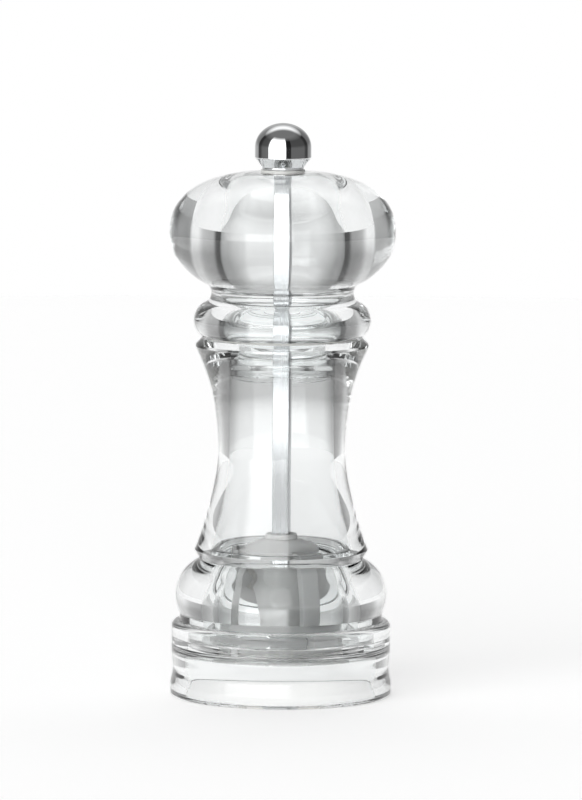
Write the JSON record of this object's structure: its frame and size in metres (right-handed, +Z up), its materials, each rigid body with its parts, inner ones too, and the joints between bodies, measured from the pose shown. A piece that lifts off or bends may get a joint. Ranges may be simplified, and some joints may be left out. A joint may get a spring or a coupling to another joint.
{
  "type": "pepper mill",
  "caption": "Turned clear pepper mill: hollow head twists a square spindle and a ceramic grinder, and a ball knob on top sets the grind.",
  "frame": {"origin": "centre of the base ring's underside, on the axis the head turns about", "axes": "+Z up along the spindle towards the knob, -Y towards the front, +X to the right seen from the front"},
  "size_m": [0.0648, 0.0648, 0.165],
  "materials": {
    "clear_acrylic": "clear, polished",
    "clear_nylon": "natural, translucent",
    "white_plastic": "moulded white, satin",
    "white_ceramic": "fired, unglazed",
    "steel": "bright spring steel",
    "aluminium": "drawn bar, satin",
    "chrome": "mirror plated",
    "brass": "turned"
  },
  "bodies": {
    "mill_body": {"base_ring": "clear_acrylic", "feed_collar": "clear_acrylic", "body_shell": "clear_acrylic", "slip_ring": "clear_nylon", "grinder_cage": "white_plastic", "stator_housing": "white_plastic", "stator_retainer": "white_plastic", "stator_ring": "white_ceramic"},
    "drive": {"spindle_bush": "white_plastic", "thrust_washer": "steel"},
    "spindle_set": {"spindle": "aluminium", "rotor_carrier": "white_plastic", "grinding_rotor": "white_ceramic", "end_washer": "steel", "retaining_clip": "steel", "adjusting_spring": "steel"},
    "head": {"head_shell": "clear_acrylic", "head_plug": "clear_acrylic", "seat_washer": "clear_nylon"},
    "knob": {"knob_shell": "chrome", "knob_insert": "brass"}
  },
  "joints": [
    {"name": "head_turn", "type": "hinge", "parent": "mill_body", "child": "drive", "pos_m": [0, 0, 0.0375], "axis": [0, 0, 1], "continuous": true},
    {"name": "head_lift", "type": "slide", "parent": "drive", "child": "head", "axis": [0, 0, 1], "range_m": [0, 0.075]},
    {"name": "knob_turn", "type": "hinge", "parent": "head", "child": "knob", "pos_m": [0, 0, 0.1518], "axis": [0, 0, 1], "range_deg": [-540, 360]},
    {"name": "grind_adjust", "type": "slide", "parent": "drive", "child": "spindle_set", "axis": [0, 0, 1], "range_m": [-0.0008, 0.0012], "deforming": ["adjusting_spring"]}
  ],
  "couplings": [
    {"joint": "knob_turn", "follows": "grind_adjust", "rad_per_m": -7854}
  ]
}
